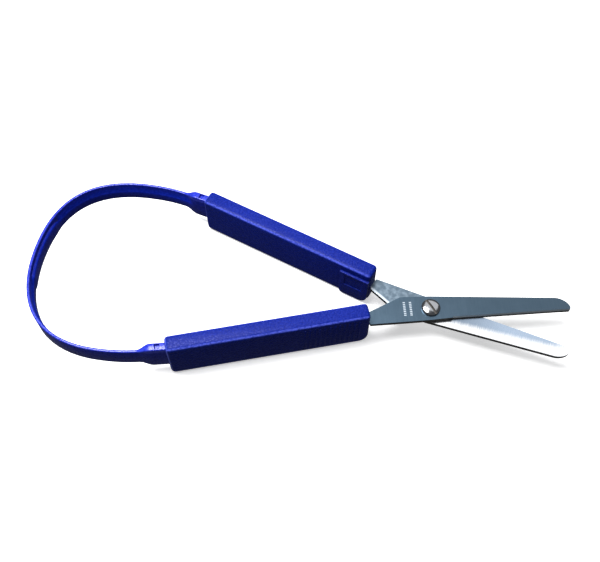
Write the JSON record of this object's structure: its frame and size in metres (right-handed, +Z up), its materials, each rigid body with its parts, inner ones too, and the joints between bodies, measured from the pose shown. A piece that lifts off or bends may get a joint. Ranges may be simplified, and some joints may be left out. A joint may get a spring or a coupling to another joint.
{
  "type": "self-opening loop scissors",
  "caption": "Easy-grip scissors with blunt steel blades on a screw pivot, long straight grips and a flexible rear loop that springs the blades open.",
  "frame": {"origin": "bottom centre of the whole object's box as it lies open on a table", "axes": "+X from the loop to the blade tips along the middle line, +Y towards the rear grip (the one on the lower blade), +Z up through the pivot screw's head"},
  "size_m": [0.2124, 0.08, 0.0186],
  "materials": {
    "blade_steel": "satin stamped stainless steel, ground edge",
    "pivot_chrome": "polished plating",
    "grip_plastic": "fine spark-textured moulded plastic",
    "loop_plastic": "smooth semi-gloss moulded plastic"
  },
  "bodies": {
    "rear_half": {"rear_blade": "blade_steel", "rear_grip": "grip_plastic", "pivot_screw": "pivot_chrome", "pivot_nut": "pivot_chrome", "loop_spring": "loop_plastic"},
    "front_half": {"front_blade": "blade_steel", "front_grip": "grip_plastic"}
  },
  "joints": [
    {"name": "pivot", "type": "hinge", "parent": "rear_half", "child": "front_half", "pos_m": [0.05292, 0, 0.0101], "axis": [0, 0, 1], "range_deg": [-20, 8], "stiffness_Nm_per_rad": 0.8, "deforming": ["loop_spring"]}
  ]
}
